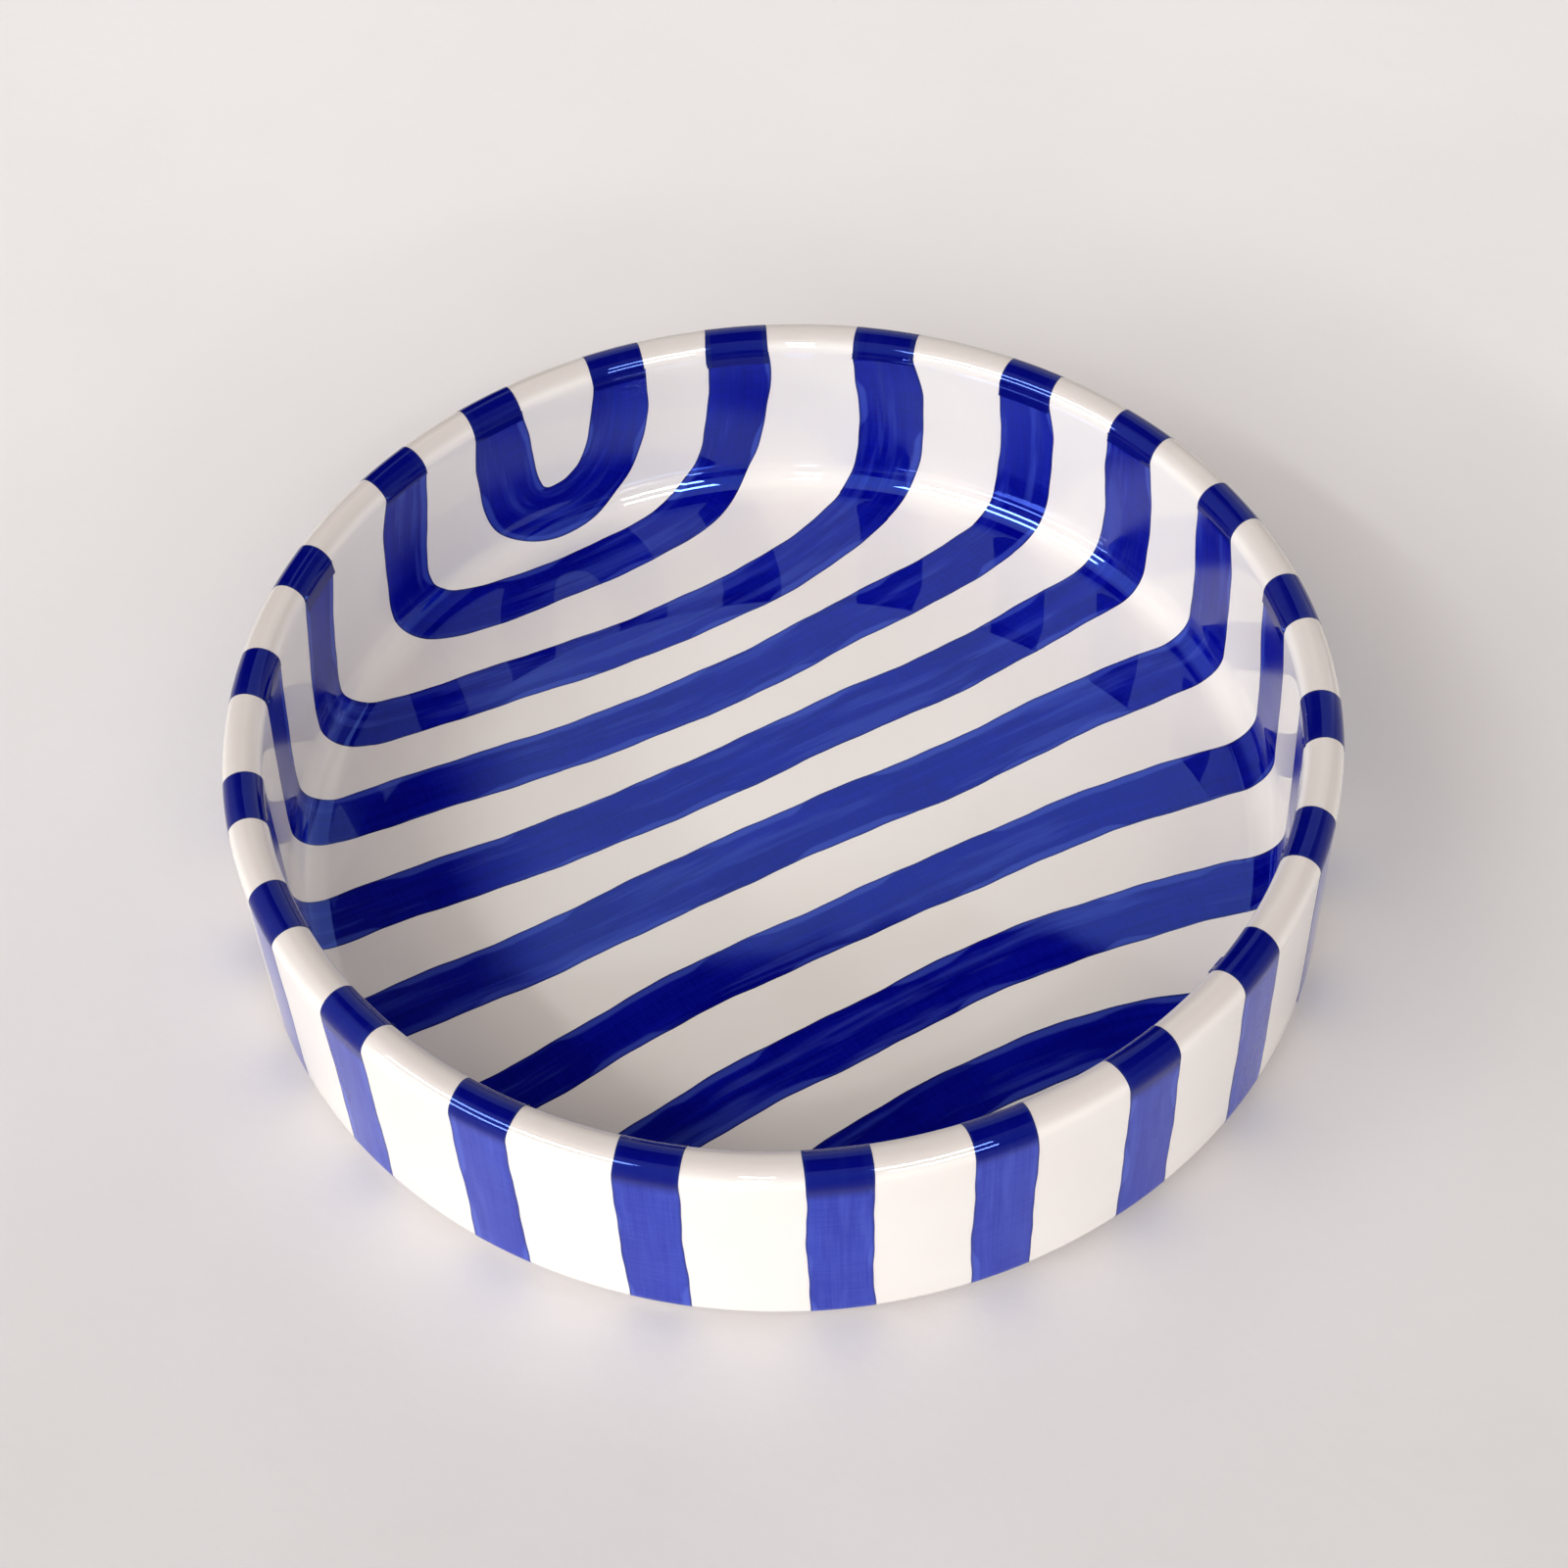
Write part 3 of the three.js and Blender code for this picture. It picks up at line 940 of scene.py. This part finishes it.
@dataclass
class StripePattern:
    """The layout of the strokes: bars round the rim, stripes from bar to bar.

    The hand's own irregularities are the bars' shifts in degrees, the stripes'
    places as shares of the floor's half width, and their spreads of width.
    """

    rolled: RolledMap
    bars: int = 22
    bar_width: float = 15.4 * MM
    bar_stop: float = 0.6
    bar_relief: float = 0.08 * MM
    bar_settle: float = 2 * MM
    lap: float = 2.2 * MM
    lap_more: float = 1.4 * MM
    lap_turn: float = 2.4
    over_rim: float = 1 * MM
    stripe_width: float = 16.4 * MM
    wave_height: float = 0.9 * MM
    wave_length: float = 110 * MM
    wave_turn: float = 1.7
    wide_bars: tuple[int, ...] = (1, 2)
    wide: float = 1.12
    bow: float = 0.27
    bend_inset: float = 6 * MM
    corner_step: float = 30 * MM
    loop_height: float = 9 * MM
    loop_limb: float = 0.75
    limb_swell: float = 1.0
    step: float = 0.9 * MM
    first_seeds: Pair = (3.0, 100.0)
    next_seed: float = 5.0
    left: Hand = Hand(side=-1, limb=0.6, limb_more=0.0, turn=28 * MM, turn_more=0.0,
                      lean=0.0, pinch=0.92)
    right: Hand = Hand(side=1, limb=0.55, limb_more=0.35, turn=26 * MM, turn_more=22 * MM,
                       lean=8.0, pinch=0.45)
    shifts: tuple = (
        0, -1.5, 0, 2, 1, 0, -1, -0.5, -1, -0.5, -1, -1, -1.5, 0, 0.5, 1.5, 1, 0, 1, 0.5, 2, 0)
    places: tuple = (0, 0.86, 0.63, 0.42, 0.205, -0.015, -0.25, -0.49, -0.725, -0.885, 0)
    spreads: tuple = (
        (1.12, 1.12, 1.0), (1.12, 0.92, 1.12), (0.94, 0.92, 1.22), (0.92, 0.94, 1.02),
        (0.93, 1.0, 1.04), (0.96, 1.04, 1.04), (0.93, 0.9, 1.08), (0.96, 0.98, 1.04),
        (0.98, 0.98, 1.0), (0.95, 0.86, 0.95), (1.0, 1.08, 1.0))

    @property
    def pitch(self) -> float:
        """The angle from bar to bar."""
        return 360 / self.bars

    @property
    def stripes(self) -> int:
        """How many inner stripes join the bars in pairs."""
        return self.bars // 2

    @property
    def bend_at(self) -> float:
        """How far out the strokes turn from the floor to the wall."""
        return self.rolled.surface.wall_start - self.bend_inset

    def bar_angle(self, bar: int) -> float:
        """The angle of a bar from the pattern's axis."""
        return (bar + 0.5) * self.pitch + self.shifts[bar]

    def width_of(self, bar: int) -> float:
        """A bar's width, the same for the end of the stripe that it meets."""
        return self.bar_width * (self.wide if bar in self.wide_bars else 1.0)

    def on_floor(self, stripe: int, u: float) -> Vector:
        """A stripe's point on the floor: its place, bowed outwards, with a swing."""
        bowed = self.places[stripe] * self.bend_at * (1 + self.bow * (u / self.bend_at) ** 2)
        swing = math.sin(math.tau * u / self.wave_length + self.wave_turn * stripe)
        return Vector((u, bowed + self.wave_height * swing))

    def loop_end(self, hand: Hand, end: float, angle: float, middle: float) -> list[Vector]:
        """The corners of one end of a loop, from the rim to the loop's bottom."""
        low = self.rolled.surface.wall_start + self.loop_height - self.stripe_width / 2
        return [polar(end, angle),
                polar(self.bend_at + (end - self.bend_at) * self.loop_limb, angle),
                polar(low, middle + (angle - middle) * hand.pinch)]

    def stripe_end(self, stripe: int, hand: Hand, end: float, angle: float) -> list[Vector]:
        """The corners of one end of a stripe, from the rim over the bend to the floor.

        Args:
            stripe: The stripe's number, from 0.
            hand: How the painter turns at this end.
            end: How far out the stripe ends.
            angle: The angle of the bar that it meets.

        Returns:
            The rolled-out corners, the rim's first.
        """
        place = self.places[stripe]
        back = math.cos(math.radians((stripe + 0.5) * self.pitch))
        share = math.sqrt((1 - place ** 2) / (1 + 2 * self.bow * place ** 2))
        turn_in = hand.turn + hand.turn_more * back ** 2
        corner = self.on_floor(stripe, hand.side * self.bend_at * share)
        floor = self.on_floor(stripe, corner.x - hand.side * turn_in)
        lean = math.radians(hand.lean * back ** 4) * math.copysign(1.0, back)
        corner = Matrix.Rotation(lean, 2) @ corner
        foot = math.degrees(math.atan2(corner.x, corner.y))
        limb = hand.limb + hand.limb_more * back ** 2
        limb_angle = foot + (angle - foot) * limb + hand.side * self.limb_swell
        return [polar(end, angle), polar(self.bend_at + (end - self.bend_at) * limb, limb_angle),
                corner, floor]

    def stripe_path(self, stripe: int, end: float) -> list[Vector]:
        """The rolled-out path of an inner stripe from rim to rim.

        The first and the last stripe are loops, about 0 and -180 degrees.
        """
        right_angle = self.bar_angle(stripe)
        left_angle = self.bar_angle(self.bars - 1 - stripe) - 360
        if stripe in (0, self.stripes - 1):
            middle = -180 if stripe else 0
            right = self.loop_end(self.right, end, right_angle + 2 * middle, middle)
            left = self.loop_end(self.left, end, left_angle, middle)
            return smooth_path(left + right[::-1], self.step)
        left = self.stripe_end(stripe, self.left, end, left_angle)
        right = self.stripe_end(stripe, self.right, end, right_angle)
        first, last = left[-1].x, right[-1].x
        count = max(1, round((last - first) / self.corner_step))
        floor = [self.on_floor(stripe, first + (last - first) * n / count)
                 for n in range(1, count)]
        return smooth_path(left + floor + right[::-1], self.step)

    def bar_path(self, bar: int) -> list[Vector]:
        """The rolled-out path of a bar: its lap on the wall, the rim, then the outside."""
        surface = self.rolled.surface
        start = surface.rim_start - self.lap - self.lap_more * math.sin(self.lap_turn * bar)
        end = surface.edge_start + surface.edge_round * math.pi / 2 * self.bar_stop
        count = round((end - start) / self.step)
        return [polar(start + (end - start) * i / count, self.bar_angle(bar))
                for i in range(count + 1)]

    def build(self, inner: Material, outer: Material) -> None:
        """Paint every stroke."""
        end = self.rolled.surface.rim_start + self.over_rim
        stripe_seed, bar_seed = self.first_seeds
        for i in range(self.stripes):
            stroke = BrushStroke(f"painted_stripe_{i + 1:02d}", self.rolled,
                                 self.stripe_path(i, end), self.stripe_width,
                                 stripe_seed + self.next_seed * i, self.spreads[i],
                                 ends=(self.width_of(self.bars - 1 - i), self.width_of(i)))
            dress(stroke.build(), inner, f"inner_stripe_{i + 1:02d}")
        for i in range(self.bars):
            width = self.width_of(i)
            stroke = BrushStroke(f"painted_bar_{i + 1:02d}", self.rolled, self.bar_path(i), width,
                                 bar_seed + self.next_seed * i, relief=self.bar_relief,
                                 settle=self.bar_settle, ends=(width, width))
            dress(stroke.build(), outer, f"rim_bar_{i + 1:02d}")


def bearing(azimuth: float, elevation: float) -> Vector:
    """The direction at an azimuth, from the back towards the right, and an elevation."""
    a, e = math.radians(azimuth), math.radians(elevation)
    return Vector((math.sin(a) * math.cos(e), math.cos(a) * math.cos(e), math.sin(e)))


@dataclass(frozen=True)
class Panel:
    """A lit stretch of the room's walls, between two azimuths and two elevations."""

    azimuths: Pair
    elevations: Pair
    colour: Colour
    soft: Pair = (4.0, 1.0)

    def mask(self, desk: NodeDesk, azimuth: NodeSocket, elevation: NodeSocket) -> NodeSocket:
        """How much of the panel lies in a direction."""
        mask = 1.0
        for value, (first, last), soft in zip((azimuth, elevation),
                                              (self.azimuths, self.elevations), self.soft):
            low, high, edge = (math.radians(v) for v in (first, last, soft))
            for start, end in ((low - edge, low + edge), (high + edge, high - edge)):
                mask = desk.math("MULTIPLY", mask, desk.ramp(value, start, end))
        return mask


@dataclass(frozen=True)
class Room:
    """The light of the room by direction.

    Daylight comes broadly from the front left and turns warmer overhead, pale
    walls stand behind the table and at its sides, and the ceiling is dark. The
    panels are the wall behind, the lower and the upper part of the wall at the
    right, and the wall at the left.
    """

    daylight: Colour = (0.97, 1.02, 1.07)
    lamplight: Colour = (1.30, 1.06, 0.84)
    daylight_from: Pair = (-150.0, 35.0)
    daylight_power: float = 1.45
    daylight_focus: float = 1.5
    overhead: Pair = (0.62, 0.88)
    ceiling_middle: Pair = (0.0, 85.6)
    ceiling_reach: float = 31.0
    ceiling_edge: float = 0.003
    uneven: float = 0.09
    uneven_rate: float = 9.0
    uneven_detail: float = 3.0
    shade: Colour = (0.02, 0.02, 0.02)
    panels: tuple[Panel, ...] = (
        Panel((-9.0, 52.0), (5.0, 54.2), (1.03, 1.03, 1.04), soft=(2.0, 0.3)),
        Panel((45.0, 140.0), (-5.0, 26.0), (0.78, 0.75, 0.74), soft=(10.0, 6.0)),
        Panel((45.0, 140.0), (26.0, 60.0), (0.26, 0.23, 0.20), soft=(10.0, 6.0)),
        Panel((-120.0, -48.0), (-5.0, 52.0), (0.62, 0.60, 0.58), soft=(10.0, 6.0)),
    )

    def world(self) -> World:
        """Make the room."""
        world = bpy.data.worlds.new("room")
        world.use_nodes = True
        world.node_tree.nodes.clear()
        desk = NodeDesk(world.node_tree)
        way = desk.add("ShaderNodeTexCoord").outputs["Generated"]
        split = desk.add("ShaderNodeSeparateXYZ", {0: way})
        azimuth = desk.math("ARCTAN2", split.outputs[0], split.outputs[1])
        uneven = desk.math("MULTIPLY_ADD", desk.noise(way, self.uneven_rate, self.uneven_detail),
                           self.uneven, -self.uneven / 2)
        elevation = desk.math("ADD", desk.math("ARCSINE", split.outputs[2]), uneven)
        facing = self.share_towards(desk, way, bearing(*self.daylight_from))
        glow = desk.math("POWER", desk.math("MAXIMUM", facing, 0.0), self.daylight_focus)
        glow = desk.math("MULTIPLY", glow, self.daylight_power)
        tint = desk.mix(desk.ramp(split.outputs[2], *self.overhead), self.daylight, self.lamplight)
        total = desk.vector("SCALE", tint, {"Scale": glow})
        for panel in self.panels:
            mask = panel.mask(desk, azimuth, elevation)
            total = desk.vector("ADD", total, {
                1: desk.vector("SCALE", panel.colour, {"Scale": mask})})
        above = self.share_towards(desk, way, bearing(*self.ceiling_middle))
        limit = math.cos(math.radians(self.ceiling_reach))
        below = desk.ramp(above, limit + self.ceiling_edge, limit - self.ceiling_edge)
        back = desk.add("ShaderNodeBackground", {
            "Color": desk.mix(below, self.shade, total), "Strength": 1.0})
        desk.add("ShaderNodeOutputWorld", {0: back.outputs[0]})
        return world

    @staticmethod
    def share_towards(desk: NodeDesk, way: NodeSocket, target: Vector) -> NodeSocket:
        """How far a direction points towards the target, from -1 to 1."""
        return desk.add("ShaderNodeVectorMath", {0: way, 1: tuple(target)},
                        operation="DOT_PRODUCT").outputs["Value"]


@dataclass(frozen=True)
class Strip:
    """A thin lamp's azimuth, and its width at the strips' own distance."""

    name: str
    azimuth: float
    width: float


@dataclass(frozen=True)
class LampKind:
    """How the strips of one use hang, and how bright they are."""

    use: LampUse
    distance: float
    height: float
    glow: float
    elevations: Pair


@dataclass
class Studio:
    """The table, the lights and the camera at the photograph's viewpoint."""

    radius: float
    base: float
    focal_px: float = 3000.0
    frame_px: float = 1600.0
    sensor: float = 36.0
    clip: Pair = (0.01, 20.0)
    distance_radii: float = 5.5946
    elevation: float = 51.17
    roll: float = -2.835
    aim_right_radii: float = -0.0069
    aim_up_radii: float = 0.123
    table_size: float = 3.0
    table_cells: int = 8
    strip_distance: float = 3.0
    strips: tuple[Strip, ...] = (
        Strip("left", -127.0, 2.1), Strip("front", -172.0, 0.24), Strip("right", 157.5, 0.88))
    kinds: tuple[LampKind, ...] = (
        LampKind(LampUse.LIGHT, 3.0, 0.15, 15.2, (46.0, 26.0)),
        LampKind(LampUse.GLINT, 2.7, 0.30, 42.0, (38.0, 17.0)))

    def camera(self) -> None:
        """Place the camera."""
        e, roll = math.radians(self.elevation), math.radians(self.roll)
        forward = Vector((0.0, math.cos(e), -math.sin(e)))
        level = Vector((1.0, 0.0, 0.0))
        upright = Vector((0.0, math.sin(e), math.cos(e)))
        right = level * math.cos(roll) + upright * math.sin(roll)
        up = upright * math.cos(roll) - level * math.sin(roll)
        aim = right * self.aim_right_radii + up * self.aim_up_radii
        place = (aim - forward * self.distance_radii) * self.radius + Vector((0, 0, self.base))
        data = bpy.data.cameras.new("photo_camera")
        data.sensor_width = self.sensor
        data.lens = self.sensor * self.focal_px / self.frame_px
        data.clip_start, data.clip_end = self.clip
        obj = linked("photo_camera", data)
        turn = Matrix((right, up, -forward)).transposed()
        obj.matrix_world = Matrix.Translation(place) @ turn.to_4x4()
        bpy.context.scene.camera = obj

    def table(self) -> None:
        """Lay the table top."""
        bm = bmesh.new()
        bmesh.ops.create_grid(bm, x_segments=self.table_cells, y_segments=self.table_cells,
                              size=self.table_size)
        table = new_object("table_top", bm)
        table.data.materials.append(TableTop().material())
        table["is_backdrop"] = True

    def lamp(self, name: str, place: Vector, size: Pair, glow: float, use: LampUse) -> None:
        """Hang a rectangular lamp that faces the bowl.

        Args:
            name: The lamp's name.
            place: Where it hangs.
            size: Its width and its height.
            glow: How bright its face is.
            use: Whether it lights the surfaces or shows in the gloss.
        """
        data = bpy.data.lights.new(name, "AREA")
        data.shape = "RECTANGLE"
        data.size, data.size_y = size
        data.energy = glow * size[0] * size[1] * math.pi
        obj = linked(name, data)
        obj.visible_diffuse = use is LampUse.LIGHT
        obj.visible_glossy = use is LampUse.GLINT
        obj.location = place
        obj.rotation_euler = (-place).to_track_quat("-Z", "Y").to_euler()

    def lights(self) -> None:
        """Hang the strip lamps, and those whose glints run along the rim and the fillet."""
        for strip in self.strips:
            for row in (0, 1):
                for kind in self.kinds:
                    width = strip.width * kind.distance / self.strip_distance
                    place = bearing(strip.azimuth, kind.elevations[row]) * kind.distance
                    self.lamp(f"{kind.use.value}_{strip.name}_{row}", place,
                              (width, kind.height), kind.glow, kind.use)

    def film(self) -> None:
        """Show colours as they are, so that the cobalt keeps its full strength."""
        view = bpy.context.scene.view_settings
        view.view_transform = "Standard"
        view.look = "None"


def main() -> list[list[float]]:
    """Load the frame, build the bowl and the studio round it.

    Returns:
        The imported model's box, lowest corner first.
    """
    logging.basicConfig(level=logging.INFO, format="%(name)s %(message)s")
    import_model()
    cad_box = [list(corner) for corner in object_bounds()]
    low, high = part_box("white_glaze")
    surface = BowlSurface(outer_radius=high[0], height=high[2], foot_height=low[2])
    effects = SharedEffects(BrushMarks().group(), GlazeRipple().group())
    TurnedClay(surface).build(BareClay().material())
    GlazeCoat(surface).build(WhiteGlaze().material(effects))
    pattern = StripePattern(RolledMap(surface))
    inner = CobaltGlaze(
        "cobalt_inside", full=(0.0, 0.0, 0.19), thin=(0.002, 0.004, 0.29),
        wash=(0.038, 0.064, 0.42), outline=(0.01, 0.012, 0.06), overlap=(0.0, 0.0, 0.08),
        half_width=pattern.stripe_width / 2, wall_soft=0.19,
        gloss=Gloss(ior=1.57, level=1.0, tint=(0.17, 0.32, 0.95)))
    outer = CobaltGlaze(
        "cobalt_outside", full=(0.008, 0.02, 0.33), thin=(0.022, 0.045, 0.42),
        wash=(0.045, 0.08, 0.50), outline=(0.012, 0.02, 0.12), overlap=(0.0, 0.0, 0.13),
        half_width=pattern.bar_width / 2, overlap_end=22 * MM,
        gloss=Gloss(tint=(0.2, 0.34, 1.0)))
    pattern.build(inner.material(effects), outer.material(effects))
    studio = Studio(radius=surface.outer_radius, base=surface.foot_height)
    studio.table()
    studio.lights()
    bpy.context.scene.world = Room().world()
    studio.camera()
    studio.film()
    return cad_box


if __name__ == "__main__":
    box = main()
